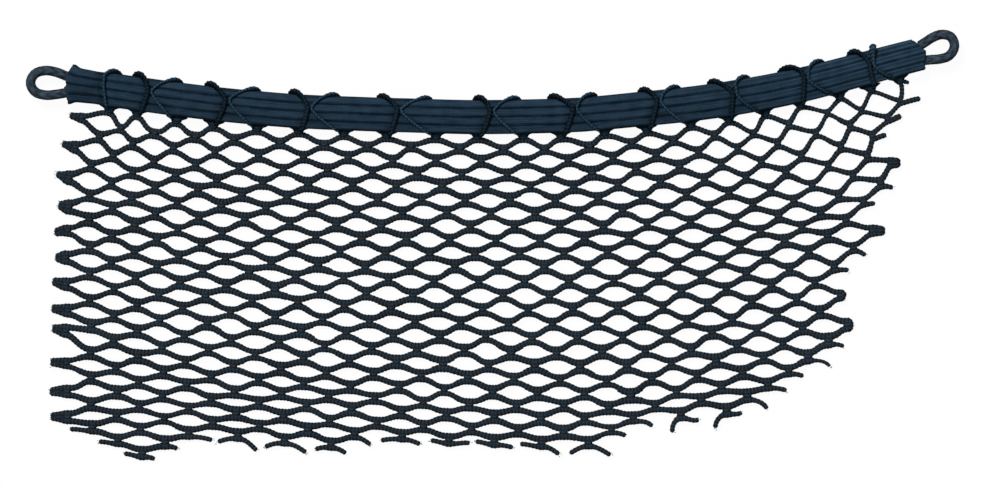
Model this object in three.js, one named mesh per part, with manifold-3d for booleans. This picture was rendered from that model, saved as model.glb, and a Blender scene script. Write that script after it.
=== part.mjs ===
// A car door mesh pocket: a knotless cord net whose top meshes are threaded over and under a flat
// ribbed elastic band, with an eye of round cord at each end of the band.
// It lies flat and face up. X runs to the right along the band, Y up the pocket's face to the band,
// and Z up from the surface it lies on. Sizes are in millimetres.
import * as THREE from 'three';
import { mergeVertices } from 'three/addons/utils/BufferGeometryUtils.js';
import Module from 'manifold-3d';

const wasm = await Module();
wasm.setup();

// ---- Driving sizes ----

const cordWidth = 2.4; // the net's cord, and how thick the flat net is
const clearance = 0.5; // between the net and the band that runs through it
const bandThickness = 2.8;
const bandRibs = 4;
const ribDepth = 0.5;
const eyeCordWidth = 4.5;

// A mesh's opening is this much narrower than the distance between the knots at its sides, and
// this much lower than the distance between the knots above and below it.
const knotWidth = 3.4;
const knotHeight = 5.2;
const straightBend = 0.3; // spokes with less than this sine between them meet as in a straight line

// Heights above the surface
const bandBottom = cordWidth + clearance;
const bandTop = bandBottom + bandThickness;
const archBottom = bandTop + clearance;
const archTop = archBottom + cordWidth;

// ---- The net ----

// The knots lie on a grid of half meshes: a knot where row + column is odd, a mesh where it is
// even. Each section is one grid column, and gives where it crosses four evenly spaced rows.
const sectionRows = { heading: -10, upper: -1, lower: 8, foot: 17 };
const netSections = [
  { column: -19, heading: [-208.5, 70], upper: [-216, 7.5], lower: [-217, -50], foot: [-218, -106] },
  { column: -12, heading: [-144.5, 57.5], upper: [-140.5, 0], lower: [-136.5, -57.5], foot: [-134, -108] },
  { column: -5, heading: [-72, 54.5], upper: [-62.5, -4], lower: [-57.5, -62.5], foot: [-53.5, -115] },
  { column: 2, heading: [3, 52.5], upper: [13, -4.5], lower: [21.5, -65.5], foot: [25.5, -119.5] },
  { column: 9, heading: [76, 56], upper: [88, -3], lower: [98.5, -63.5], foot: [107, -119] },
  { column: 16, heading: [142.5, 64], upper: [161.5, 2.5], lower: [176, -58.5], foot: [192, -115] },
  { column: 23, heading: [202, 80], upper: [230.5, 13.5], lower: [256.5, -53], foot: [280.5, -119] },
];

// Knots at the heading's two ends, which the edge cords pull off the grid
const pulledKnots = [
  { row: -10, column: -17, x: -184.7, y: 65.3 },
  { row: -10, column: 23, x: 196, y: 79.4 },
];

// The whole meshes below the heading: the last one in each row from topRow down, where the net is
// cut along its right edge and its foot. A row starts at firstColumn or at the column after it, and
// the lower left corner is cut off along a diagonal.
const topRow = -9;
const firstColumn = -17;
const lastColumns = [
  21, 20, 19, 18, 19, 18, 17, 16, 17, 16, 15, 14, 15, 14, 15, 14, 13, 12, 11, 10, 5, 4, -7, -14, -15,
];
const cornerRow = 30; // the diagonal's row at column 0

// Where the cord was cut: how far each free end reaches from its knot, to the left and to the
// right. A wide end is two cords fused into one.
const fusedWidth = 5.5;
const cutEnds = [
  { row: -9, column: 22, right: [9.5, 0.5] },
  { row: -8, column: 21, right: [7, 1.5] },
  { row: -7, column: 20, right: [6, 1] },
  { row: -5, column: 20, right: [4.5, 1.5], width: fusedWidth },
  { row: -4, column: 19, right: [8, -1] },
  { row: -3, column: 18, right: [7, -1] },
  { row: -1, column: 18, right: [5.5, 0], width: fusedWidth },
  { row: 0, column: 17, right: [6, -3] },
  { row: 1, column: 16, right: [6.5, -2] },
  { row: 3, column: 16, right: [3.5, -1], width: fusedWidth },
  { row: 5, column: 16, right: [4, -0.5], width: fusedWidth },
  { row: 6, column: 15, right: [7.5, -3] },
  { row: 7, column: 14, right: [10, -5] },
  { row: 8, column: 13, right: [7, -2.5] },
  { row: 9, column: 12, right: [9, -3.5] },
  { row: 10, column: 11, right: [10, -5.5] },
  { row: 11, column: 10, left: [-6, -8], right: [7.5, -1] },
  { row: 11, column: 8, left: [-5, -8], right: [8.5, -2.5] },
  { row: 11, column: 6, right: [9.5, -4] },
  { row: 12, column: 5, right: [7.5, -4] },
  { row: 13, column: 4, left: [-8.5, -5], right: [11, -5.6] },
  { row: 13, column: 2, left: [-10.5, -1], right: [8.5, -6] },
  { row: 13, column: 0, left: [-9, -0.5], right: [9, -3.5] },
  { row: 13, column: -2, left: [-9, 0], right: [10, -1] },
  { row: 13, column: -4, left: [-10.5, -2.5], right: [8.5, -4] },
  { row: 13, column: -6, right: [9, -5.5] },
  { row: 14, column: -7, left: [-7, -2.5], right: [8, -4.5] },
  { row: 14, column: -9, left: [-9, -3.5], right: [11, -6] },
  { row: 14, column: -11, left: [-9.5, -3.5], right: [9.5, -7.5] },
  { row: 14, column: -13, right: [11.5, -4.5] },
  { row: 15, column: -14, right: [6, -3] },
  { row: 16, column: -15, left: [-8.5, -1], right: [6.2, -1.2] },
  { row: 15, column: -16, left: [-9, -1] },
  { row: 14, column: -17, left: [-9, -1] },
];

// Every second row ends at the left in a fused tip, and the tips are longer further down.
const leftTips = { firstRow: -9, lastRow: 13, shortest: 4, longest: 7.5 };

// ---- The heading, where the top meshes wrap round the band ----

// Each crossing in front of the band: its grid column, where its two cords meet on the band's
// middle line, and where the left and the right one turn over the band's upper edge, all in x.
// The crossings behind the band lie between these. The first has only its right-hand cord.
const crossings = [
  { column: -18, middle: -188, right: -183 },
  { column: -14, middle: -165, left: -170.5, right: -153.5 },
  { column: -10, middle: -127.5, left: -136, right: -116 },
  { column: -6, middle: -88, left: -95.5, right: -78 },
  { column: -2, middle: -44.5, left: -53, right: -33 },
  { column: 2, middle: 0, left: -6.5, right: 9.5 },
  { column: 6, middle: 40, left: 29.5, right: 46.5 },
  { column: 10, middle: 80, left: 73, right: 86.5 },
  { column: 14, middle: 117, left: 106.5, right: 121 },
  { column: 18, middle: 151.5, left: 142.5, right: 156.5 },
  { column: 22, middle: 183, left: 173.5, right: 184 },
];
const headingRow = sectionRows.heading;

// ---- The band and its eyes ----

// The band's middle line, from its left end to its right. The stations are evenly spaced in x.
const bandStations = [
  { x: -204.5, y: 77.5, width: 16.4 },
  { x: -121.9, y: 66.6, width: 16.4 },
  { x: -39.3, y: 61.8, width: 16.5 },
  { x: 43.3, y: 62.9, width: 16.6 },
  { x: 125.9, y: 72.1, width: 16.9 },
  { x: 208.5, y: 92.4, width: 15.8 },
];
const bandSteps = 20;

// The middle line of each eye's cord, from the end of one leg round to the end of the other.
const leftEye = [
  [-205, 81], [-210.5, 83.1], [-215.7, 83.8], [-220.5, 82.2],
  [-222.6, 77.9], [-220.4, 73.6], [-215.5, 72], [-210.5, 72.3], [-206.2, 73],
];
const rightEye = [
  [208.4, 97.4], [212.2, 99.8], [216.6, 101.2], [221, 99.9],
  [222.6, 95.4], [220.2, 91.1], [216, 89.5], [210.8, 89],
];
const eyeSteps = 12;
const eyeSides = 8;

const finishes = {
  net: { color: '#202931', roughness: 0.9, metalness: 0 },
  band: { color: '#182a39', roughness: 0.85, metalness: 0 },
  eye: { color: '#232d36', roughness: 0.85, metalness: 0 },
};

// ---- Shapes and joins ----

const point = (x, y) => new THREE.Vector2(x, y);
const raised = (p, z) => new THREE.Vector3(p.x, p.y, z);
const curveThrough = (points) => new THREE.CatmullRomCurve3(points, false, 'catmullrom', 0.5);

function solidOf(geometry) {
  geometry.deleteAttribute('normal');
  geometry.deleteAttribute('uv');
  const merged = mergeVertices(geometry);
  const vertProperties = merged.attributes.position.array;
  const triVerts = Uint32Array.from(merged.index.array);
  return new wasm.Manifold(new wasm.Mesh({ numProp: 3, vertProperties, triVerts }));
}

function geometryOf(solid) {
  const { vertProperties, triVerts } = solid.getMesh();
  const geometry = new THREE.BufferGeometry();
  geometry.setAttribute('position', new THREE.BufferAttribute(vertProperties, 3));
  geometry.setIndex(new THREE.BufferAttribute(triVerts, 1));
  geometry.computeVertexNormals();
  return geometry;
}

function prism(outline, height, openings = []) {
  const shape = new THREE.Shape(outline);
  shape.holes = openings.map((opening) => new THREE.Path(opening));
  return solidOf(new THREE.ExtrudeGeometry(shape, { depth: height, bevelEnabled: false }));
}

// ---- Cords that meet at a knot, seen from above ----

// A spoke is a cord that leaves a knot: how far it reaches, and its width.
const spokeTo = (knot, end, width = cordWidth) => ({ reach: end.clone().sub(knot), width });

// The corners of a spoke's free end, anticlockwise round the knot
function endCorners(knot, { reach, width }) {
  const end = knot.clone().add(reach);
  const side = point(-reach.y, reach.x).setLength(width / 2);
  return [end.clone().sub(side), end.clone().add(side)];
}

// Where the sides of two spokes meet, the second one anticlockwise from the first
function crotch(knot, first, second) {
  const a = first.reach.clone().normalize();
  const b = second.reach.clone().normalize();
  const bend = a.cross(b);
  if (Math.abs(bend) < straightBend) {
    return knot.clone().addScaledVector(point(-a.y, a.x), (first.width + second.width) / 4);
  }
  const corner = a.multiplyScalar(second.width).addScaledVector(b, first.width);
  return knot.clone().addScaledVector(corner, 1 / (2 * bend));
}

// Sorted anticlockwise, from a direction
function anticlockwise(spokes, start) {
  const turn = ({ reach }) => (reach.angle() - start.angle() + 2 * Math.PI) % (2 * Math.PI);
  return [...spokes].sort((one, other) => turn(one) - turn(other));
}

// The outline of spokes that leave one knot and all end free
function starOutline(knot, spokes) {
  const ordered = anticlockwise(spokes, point(1, 0));
  return ordered.flatMap((spoke, i) => (
    [...endCorners(knot, spoke), crotch(knot, spoke, ordered[(i + 1) % ordered.length])]
  ));
}

// ---- Places on the band ----

// Its third coordinate is the band's width.
const bandCurve = curveThrough(bandStations.map(({ x, y, width }) => new THREE.Vector3(x, y, width)));

function bandFrame(x) {
  const along = (x - bandStations.at(0).x) / (bandStations.at(-1).x - bandStations.at(0).x);
  const { x: dx, y: dy } = bandCurve.getTangent(along);
  const tangent = point(dx, dy).normalize();
  const { x: cx, y: cy, z: width } = bandCurve.getPoint(along);
  return { middle: point(cx, cy), tangent, normal: point(-tangent.y, tangent.x), width };
}

// The place at this x that a cord reaches to as it turns round the band: side is 1 at the band's
// upper edge and -1 at its lower one.
function turningPoint(x, side) {
  const reach = side * (bandFrame(x).width / 2 + clearance + cordWidth);
  const { middle, normal } = bandFrame(x + reach * bandFrame(x).tangent.y);
  return middle.clone().addScaledVector(normal, reach);
}

// The space round the band that a wrapping cord may take: over it from edge to edge, and down
// beside both edges to the surface.
function sleeve(x) {
  const { middle, tangent, normal, width } = bandFrame(x);
  const inner = width / 2 + clearance;
  const outer = inner + cordWidth;
  const length = 2 * width;
  const profile = new THREE.Shape([
    point(-outer, 0),
    point(-inner, 0),
    point(-inner, archBottom),
    point(inner, archBottom),
    point(inner, 0),
    point(outer, 0),
    point(outer, archTop),
    point(-outer, archTop),
  ]);
  const geometry = new THREE.ExtrudeGeometry(profile, { depth: length, bevelEnabled: false });
  const start = middle.clone().addScaledVector(tangent, -length / 2);
  const axes = [raised(normal, 0), new THREE.Vector3(0, 0, 1), raised(tangent, 0)];
  geometry.applyMatrix4(new THREE.Matrix4().makeBasis(...axes).setPosition(raised(start, 0)));
  return solidOf(geometry);
}

// ---- The net's knots and meshes ----

const rowCurves = Object.keys(sectionRows).map((name) => (
  curveThrough(netSections.map((section) => new THREE.Vector3(...section[name], 0)))
));

function gridPoint(row, column) {
  const { column: left } = netSections.at(0);
  const { column: right } = netSections.at(-1);
  const across = (column - left) / (right - left);
  const down = (row - sectionRows.heading) / (sectionRows.foot - sectionRows.heading);
  const p = curveThrough(rowCurves.map((curve) => curve.getPoint(across))).getPoint(down);
  return point(p.x, p.y);
}

// Behind the band, two cords cross between each two crossings in front of it. That knot, its
// column, and where its cords turn over the band's upper edge
const backCrossings = crossings.slice(1).map((after, i) => {
  const before = crossings[i];
  return {
    column: (before.column + after.column) / 2,
    knot: bandFrame((before.middle + after.middle) / 2).middle,
    turns: [turningPoint(before.right, 1), turningPoint(after.left, 1)],
  };
});
const backRow = headingRow - 1;

function knotPoint([row, column]) {
  const back = row === backRow && backCrossings.find((crossing) => crossing.column === column);
  const pulled = pulledKnots.find((knot) => knot.row === row && knot.column === column);
  return back?.knot ?? (pulled ? point(pulled.x, pulled.y) : gridPoint(row, column));
}

// The whole meshes, and in the heading row only those that the crossings behind the band close
function wholeMeshes() {
  const meshes = backCrossings.map(({ column }) => ({ row: headingRow, column }));
  lastColumns.forEach((last, i) => {
    const row = topRow + i;
    const start = i % 2 ? firstColumn + 1 : firstColumn;
    for (let column = Math.max(start, row - cornerRow); column <= last; column += 2) {
      meshes.push({ row, column });
    }
  });
  return meshes;
}

// A mesh's knots, anticlockwise from its left one
const knotsOf = ({ row, column }) => [
  [row, column - 1],
  [row + 1, column],
  [row, column + 1],
  [row - 1, column],
];

function openingOf(mesh) {
  const [left, below, right, above] = knotsOf(mesh).map(knotPoint);
  const inset = (from, to, size) => from.clone().add(to.clone().sub(from).setLength(size / 2));
  return [
    inset(left, right, knotWidth),
    inset(below, above, knotHeight),
    inset(right, left, knotWidth),
    inset(above, below, knotHeight),
  ];
}

// ---- The net's edge ----

// Every free end, by its knot: the cut ends, the fused tips, and the cords that turn over the
// band's edges.
function freeEnds() {
  const ends = new Map();
  const add = (row, column, spoke) => {
    const key = String([row, column]);
    ends.set(key, [...(ends.get(key) ?? []), spoke]);
  };
  for (const { row, column, left, right, width = cordWidth } of cutEnds) {
    for (const reach of [left, right].filter(Boolean)) add(row, column, { reach: point(...reach), width });
  }
  const { firstRow, lastRow, shortest, longest } = leftTips;
  for (let row = firstRow; row <= lastRow; row += 2) {
    const length = THREE.MathUtils.mapLinear(row, firstRow, lastRow, shortest, longest);
    add(row, firstColumn - 1, { reach: point(-length, 0), width: fusedWidth });
  }
  for (const { column, knot, turns } of backCrossings) {
    for (const turn of turns) add(backRow, column, spokeTo(knot, turn));
  }
  const last = crossings.at(-1).column;
  const lastFoot = turningPoint(knotPoint([headingRow, last + 1]).x, -1);
  add(topRow, last, spokeTo(knotPoint([topRow, last]), lastFoot));
  return ends;
}

// The knots round the net's edge, anticlockwise: the mesh sides that no other mesh shares, joined
// end to end
function edgeKnots(meshes) {
  const sides = new Map();
  for (const mesh of meshes) {
    const knots = knotsOf(mesh);
    knots.forEach((knot, i) => {
      const next = knots[(i + 1) % knots.length];
      sides.set(`${knot} to ${next}`, { knot, next });
    });
  }
  const following = new Map();
  for (const { knot, next } of sides.values()) {
    if (!sides.has(`${next} to ${knot}`)) following.set(String(knot), next);
  }
  const [first] = following.keys();
  const edge = [following.get(first)];
  while (String(edge.at(-1)) !== first) edge.push(following.get(String(edge.at(-1))));
  return edge;
}

function edgeOutline(meshes) {
  const ends = freeEnds();
  const edge = edgeKnots(meshes);
  return edge.flatMap((key, i) => {
    const knot = knotPoint(key);
    const before = spokeTo(knot, knotPoint(edge.at(i - 1)));
    const after = spokeTo(knot, knotPoint(edge[(i + 1) % edge.length]));
    const free = anticlockwise(ends.get(String(key)) ?? [], before.reach);
    const spokes = [before, ...free, after];
    return spokes.slice(1).flatMap((spoke, j) => {
      const corner = crotch(knot, spokes[j], spoke);
      return spoke === after ? [corner] : [corner, ...endCorners(knot, spoke)];
    });
  });
}

// ---- The net ----

function frontCrossing({ column, middle, left, right }) {
  const centre = bandFrame(middle).middle;
  const cord = (side, upperX) => [
    turningPoint(knotPoint([headingRow, column + side]).x, -1),
    turningPoint(upperX, 1),
  ];
  const ends = left === undefined ? cord(1, right) : [...cord(-1, left), ...cord(1, right)];
  const outline = starOutline(centre, ends.map((end) => spokeTo(centre, end)));
  return prism(outline, archTop).intersect(sleeve(middle));
}

function netGeometry() {
  const meshes = wholeMeshes();
  const flat = prism(edgeOutline(meshes), cordWidth, meshes.map(openingOf));
  return geometryOf(wasm.Manifold.union([flat, ...crossings.map(frontCrossing)]));
}

// ---- The band ----

// Its section is one unit wide, with ribs on the face, and is bent to the band's line and width.
function bandGeometry() {
  const section = [point(-0.5, 0), point(0.5, 0)];
  for (let i = 0; i <= 2 * bandRibs; i += 1) {
    const groove = i % 2 ? 0 : ribDepth;
    section.push(point(0.5 - i / (2 * bandRibs), bandThickness - groove));
  }
  const shape = new THREE.Shape(section);
  const geometry = new THREE.ExtrudeGeometry(shape, { depth: 1, steps: bandSteps, bevelEnabled: false });
  const { position } = geometry.attributes;
  for (let i = 0; i < position.count; i += 1) {
    const x = THREE.MathUtils.lerp(bandStations.at(0).x, bandStations.at(-1).x, position.getZ(i));
    const { middle, normal, width } = bandFrame(x);
    const place = middle.clone().addScaledVector(normal, position.getX(i) * width);
    position.setXYZ(i, place.x, place.y, bandBottom + position.getY(i));
  }
  return geometry;
}

// ---- The eyes ----

function eyeGeometry(route) {
  const height = bandBottom + bandThickness / 2;
  const extrudePath = curveThrough(route.map(([x, y]) => new THREE.Vector3(x, y, height)));
  const section = new THREE.Shape(Array.from({ length: eyeSides }, (_, i) => {
    const angle = ((i + 0.5) / eyeSides) * 2 * Math.PI;
    const radius = eyeCordWidth / 2 / Math.cos(Math.PI / eyeSides);
    return point(radius * Math.cos(angle), radius * Math.sin(angle));
  }));
  return new THREE.ExtrudeGeometry(section, { steps: eyeSteps, bevelEnabled: false, extrudePath });
}

// ---- The pocket ----

function piece(name, geometry, finish) {
  const mesh = new THREE.Mesh(geometry, new THREE.MeshStandardMaterial(finish));
  mesh.name = name;
  return mesh;
}

const pocket = new THREE.Group();
pocket.add(
  piece('net', netGeometry(), finishes.net),
  piece('band', bandGeometry(), finishes.band),
  piece('loop_left', eyeGeometry(leftEye), finishes.eye),
  piece('loop_right', eyeGeometry(rightEye), finishes.eye),
);

export default pocket;
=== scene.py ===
"""A car door mesh pocket, lying face up: a knitted cord net whose top meshes are threaded over and
under a ribbed elastic band, with an eye of braided cord at each end of the band.

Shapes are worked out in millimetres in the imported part's frame, and are made in metres.
"""
import math
from collections import namedtuple

import bpy
import numpy as np
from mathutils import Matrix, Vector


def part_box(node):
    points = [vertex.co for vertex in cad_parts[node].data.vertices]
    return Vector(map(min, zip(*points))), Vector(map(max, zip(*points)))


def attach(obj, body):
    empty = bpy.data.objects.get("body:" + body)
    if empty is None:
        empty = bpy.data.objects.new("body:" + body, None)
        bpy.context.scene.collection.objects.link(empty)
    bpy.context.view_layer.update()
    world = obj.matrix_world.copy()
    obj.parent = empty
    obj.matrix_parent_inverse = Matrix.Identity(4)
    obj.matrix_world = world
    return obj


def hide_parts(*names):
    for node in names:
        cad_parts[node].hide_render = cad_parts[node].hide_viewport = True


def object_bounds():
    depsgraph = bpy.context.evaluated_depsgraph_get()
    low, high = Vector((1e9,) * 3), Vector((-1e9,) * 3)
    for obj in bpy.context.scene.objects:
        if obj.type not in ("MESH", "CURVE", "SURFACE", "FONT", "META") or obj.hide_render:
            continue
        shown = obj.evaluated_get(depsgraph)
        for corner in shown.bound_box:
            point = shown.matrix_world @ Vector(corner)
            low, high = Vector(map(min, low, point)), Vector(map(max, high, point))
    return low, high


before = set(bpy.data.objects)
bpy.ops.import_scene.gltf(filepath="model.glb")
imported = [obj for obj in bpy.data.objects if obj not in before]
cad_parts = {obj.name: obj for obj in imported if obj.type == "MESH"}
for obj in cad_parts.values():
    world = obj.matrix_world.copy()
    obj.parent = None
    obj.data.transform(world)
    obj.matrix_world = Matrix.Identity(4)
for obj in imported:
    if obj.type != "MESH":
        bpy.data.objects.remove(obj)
cad_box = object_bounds()

MM = 0.001
UP = np.array([0.0, 0.0, 1.0])
TURN = 2 * math.pi


# ---- Driving sizes, in millimetres ----

# Half a cord's width where it runs free, where the net spreads it between knots, and at a knot
FREE_RADIUS = 1.2
FLANK_RADIUS = 1.5
KNOT_RADIUS = 1.7
LIFT_RADIUS = 1.2  # half its height
KNOT_SPREAD = 2.4  # the length over which it fattens towards a knot
KNOT_OFFSET = 1.7  # a knot's two cords run this far to each side of its middle
KNOT_SIZE = (2.0, 2.7, 1.3)  # half a knot's size along its row, across it and upwards
FUSED_OFFSET = 0.95  # the same where they end together
WAVE_SLOPES = (1.25, 0.6)  # how roundly a wave passes its knots, in wide and in square meshes
WIDE_TO_SQUARE = (0.65, 0.9)  # a mesh's height over its width, where it counts as wide and as square
SQUARE_SHRINK = 0.17  # how much thinner cords and knots are in square meshes
TAUT_SHRINK = 0.09  # how much thinner they are in the top row, where the band stretches the net
TAUT_ROWS = 3  # over how many rows that wears off
TROUGH_DROP = 0.7  # how much closer the top wave passes above its knots
STITCH_PITCH = 1.75
STITCH_RELIEF = 0.09
STITCH_SLANT = 2.4  # how far a stitch falls behind, in its own phase, for each radian round the cord
RING_STEP = STITCH_PITCH / 3  # along a cord
CORD_SIDES = 12
BLUNT_END = (0.9, 0.6)  # the length over which a cord's end rounds off, and the part left at its tip
FLOOR_GAP = 0.15  # between a cord and the surface, and twice that behind the band
KNOT_RINGS = 11
KNOT_REACH = 0.97  # where a knot's last rings are, if its tips are at 1
KNOT_STITCHES = (9, 3, 0.05)  # their phase along half a knot and round it, and their relief
KNOT_WIDTH = (0.3, 0.7)  # the part of a knot's width that is fixed, and the part that its cords set
CORD_TONES = (0.92, 1.08)
KNOT_TONES = (0.95, 1.15)
SEED = 11

# How much knots stray in x and y, and how much the roundness of the cords there and their thickness
# vary, as one standard deviation
UNEVENNESS = (0.3, 0.3, 0.12, 0.06)

band_corners = [np.array(corner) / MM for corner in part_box("band")]
BAND_BOTTOM = band_corners[0][2]
BAND_TOP = band_corners[1][2]
BAND_MIDDLE = (BAND_BOTTOM + BAND_TOP) / 2
FLAT_HEIGHT = LIFT_RADIUS + FLOOR_GAP  # the middle of a cord that lies on the surface


# ---- The net's grid, as in the part's source ----

# The grid's points at SECTION_ROWS, section by section. They are a least-squares fit to the openings
# in the photograph, rounded to half a millimetre. Six foot points and the first heading point were
# then moved.
NetSection = namedtuple("NetSection", "column heading upper lower foot")
SECTION_ROWS = (-10, -1, 8, 17)
NET_SECTIONS = [
    NetSection(-19, (-208.5, 70), (-216, 7.5), (-217, -50), (-218, -106)),
    NetSection(-12, (-144.5, 57.5), (-140.5, 0), (-136.5, -57.5), (-134, -108)),
    NetSection(-5, (-72, 54.5), (-62.5, -4), (-57.5, -62.5), (-53.5, -115)),
    NetSection(2, (3, 52.5), (13, -4.5), (21.5, -65.5), (25.5, -119.5)),
    NetSection(9, (76, 56), (88, -3), (98.5, -63.5), (107, -119)),
    NetSection(16, (142.5, 64), (161.5, 2.5), (176, -58.5), (192, -115)),
    NetSection(23, (202, 80), (230.5, 13.5), (256.5, -53), (280.5, -119)),
]
HEADING_ROW = -10
TOP_ROW = -9
FIRST_COLUMN = -17
# The last whole mesh of each row from TOP_ROW down, as a program counted them in the photograph
LAST_COLUMNS = [
    21, 20, 19, 18, 19, 18, 17, 16, 17, 16, 15, 14, 15, 14, 15, 14, 13, 12, 11, 10, 5, 4, -7, -14, -15,
]
CORNER_ROW = 30  # a mesh's column is at most this far below its row, which cuts the lower left corner

# The heading's knots, which its cords draw off the even grid, read off the photograph and
# turned into millimetres by a program: {column: (x, y)}
HEADING_KNOTS = {
    -17: (-184.8, 64.8), -15: (-171.4, 62.9), -13: (-152.5, 59.5), -11: (-134.7, 57.4),
    -9: (-113.6, 55.7), -7: (-93.6, 54.6), -5: (-71.8, 53.4), -3: (-51.0, 52.4), -1: (-27.3, 52.1),
    1: (-7.2, 52.1), 3: (14.7, 52.1), 5: (33.2, 52.2), 7: (54.1, 53.8), 9: (74.5, 55.1),
    11: (95.6, 57.7), 13: (114.0, 60.1), 15: (131.5, 63.2), 17: (148.5, 67.3), 19: (167.5, 71.4),
    21: (182.6, 74.6), 23: (196.2, 78.9),
}

# Other knots that sit off the even grid, most of them near the net's edges, come by in the same way,
# and some of them adjusted after that: {(row, column): (x, y)}
MOVED_KNOTS = {
    (-9, -18): (-198.0, 61.3), (-9, -16): (-179.2, 56.1), (-9, -12): (-143.5, 52.0),
    (-9, -10): (-124.7, 50.8), (-9, 0): (-15.8, 46.4), (-9, 2): (5.4, 46.0), (-9, 16): (143.0, 58.1),
    (-9, 18): (161.6, 63.7), (-9, 20): (178.0, 64.9), (-9, 22): (196.6, 69.2),
    (-8, -17): (-189.7, 51.8), (-8, -15): (-173.5, 48.5), (-8, 17): (156.0, 53.4),
    (-8, 19): (172.6, 57.2),
    (-7, -18): (-201.4, 46.9), (-7, -16): (-183.0, 42.7), (-7, -14): (-163.4, 39.8),
    (-7, 18): (168.1, 47.0), (-7, 20): (183.4, 52.2),
    (-6, -17): (-193.6, 37.8), (-6, -15): (-173.6, 34.5), (-6, 17): (162.0, 37.8),
    (-6, 19): (180.9, 42.4),
    (-5, -18): (-204.4, 32.2), (-5, -16): (-183.8, 29.4), (-5, 16): (154.3, 28.3),
    (-5, 18): (174.0, 33.1), (-5, 20): (192.0, 39.3),
    (-4, -17): (-194.3, 23.5), (-4, -15): (-174.0, 22.0), (-4, 17): (167.1, 23.3),
    (-4, 19): (187.3, 29.6),
    (-3, -18): (-204.6, 18.1), (-3, 16): (158.4, 15.0), (-3, 18): (179.0, 20.5),
    (-2, 17): (170.6, 11.6), (-1, 14): (141.0, 1.6), (-1, 16): (161.7, 4.0), (-1, 18): (183.2, 6.6),
    (0, 15): (152.6, -3.8), (0, 17): (174.2, -1.7), (7, -18): (-206.1, -41.6),
    (9, 8): (88.8, -71.3), (9, 10): (110.5, -69.0),
    (10, 7): (78.5, -78.0), (10, 9): (100.8, -75.0), (10, 11): (122.9, -73.0),
    (11, -18): (-205.3, -70.9), (11, 8): (90.9, -81.9), (11, 10): (113.0, -80.0),
    (13, -18): (-205.2, -83.3),
}

# Where the knots round a place sit off the even grid together, and how far that place's shift reaches,
# set from how far a render's openings were from the photograph's
Pull = namedtuple("Pull", "place shift reach")
PULLS = [
    Pull((65.5, -67.5), (0.3, -1.4), 14),
    Pull((132, -12.5), (-0.4, 1.2), 16),
    Pull((-138.5, -34), (0.3, 1.3), 12),
    Pull((141, 30), (0, -1.1), 16),
    Pull((25.5, 44), (-0.3, -1), 12),
    Pull((116, -71), (-0.7, 1.4), 9),
    Pull((-124.5, -65.5), (0.2, -1.1), 9),
    Pull((-178, -98), (1.2, 0.6), 18),
    Pull((-77, -58), (0, -1.1), 11),
    Pull((56, -73), (0.2, -0.8), 8),
    Pull((44.5, -89), (-1.2, 0), 9),
    Pull((-9, -47), (0.2, 1.2), 13),
    Pull((122, 26), (0.5, -1.2), 11),
    Pull((-24, 22), (0.2, 1.1), 14),
    Pull((70, 32), (-0.4, 0.8), 10),
    Pull((153, -22), (-1, 0.1), 11),
    Pull((-181, -66), (1.1, -0.7), 9),
    Pull((-188, -24), (0.8, 0.6), 10),
]

# Free ends, come by as the moved knots were: how far the cord's end is from its knot to the left and
# right, whether both of the knot's cords end together there, how thick it is, and how far it bends
# aside, in radians
CutEnd = namedtuple("CutEnd", "row column left right fused girth bend", defaults=(False, 1, 0))
CUT_ENDS = [
    CutEnd(-9, 22, None, (9.7, 1.2), girth=1.1),
    CutEnd(-8, 21, None, (6.4, 1.3), girth=1.25),
    CutEnd(-7, 20, None, (6.6, 0.6), girth=1.1),
    CutEnd(-5, 20, None, (3.2, 0.1), True, 1.35),
    CutEnd(-4, 19, None, (5.9, -2.3)),
    CutEnd(-3, 18, None, (5.6, -0.8)),
    CutEnd(-1, 18, None, (4.7, 0), True, 1.3),
    CutEnd(0, 17, None, (5.7, -3.5)),
    CutEnd(1, 16, None, (6.9, -1.6)),
    CutEnd(3, 16, None, (2.2, -1), True),
    CutEnd(5, 16, None, (2.6, 0.2), True),
    CutEnd(6, 15, None, (7.4, -2.8), girth=0.9),
    CutEnd(7, 14, None, (10.4, -4.6), girth=0.75, bend=-0.5),
    CutEnd(8, 13, None, (7, -2.5)),
    CutEnd(9, 12, None, (9, -2.8)),
    CutEnd(10, 11, None, (9.5, -6.3), bend=-0.6),
    CutEnd(11, 10, (-5.4, -8.5), (7.3, -1), bend=0.7),
    CutEnd(11, 8, (-3.9, -8.7), (8.6, -2.5), bend=0.8),
    CutEnd(11, 6, None, (9.2, -4), bend=-0.4),
    CutEnd(12, 5, None, (6.9, -2.8)),
    CutEnd(13, 4, (-8.9, -5.1), (10.7, -6)),
    CutEnd(13, 2, (-10.4, -0.6), (8.5, -5.5)),
    CutEnd(13, 0, (-9, -0.3), (9, -3.2)),
    CutEnd(13, -2, (-8.8, -0.3), (10, -1.5)),
    CutEnd(13, -4, (-10.3, -2.3), (8.6, -4.1)),
    CutEnd(13, -6, None, (7.6, -5.2)),
    CutEnd(14, -7, (-7.6, -2.5), (7.2, -4.4)),
    CutEnd(14, -9, (-9.5, -3.3), (10.4, -6)),
    CutEnd(14, -11, (-9.7, -3.3), (9.1, -7.4)),
    CutEnd(14, -13, None, (11.2, -3.5)),
    CutEnd(15, -14, None, (5.9, -3)),
    CutEnd(16, -15, (-8.7, -0.3), (6.1, -2.9)),
    CutEnd(15, -16, (-9.2, -0.7), None),
    CutEnd(14, -17, (-10.7, -1), None),
]
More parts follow.
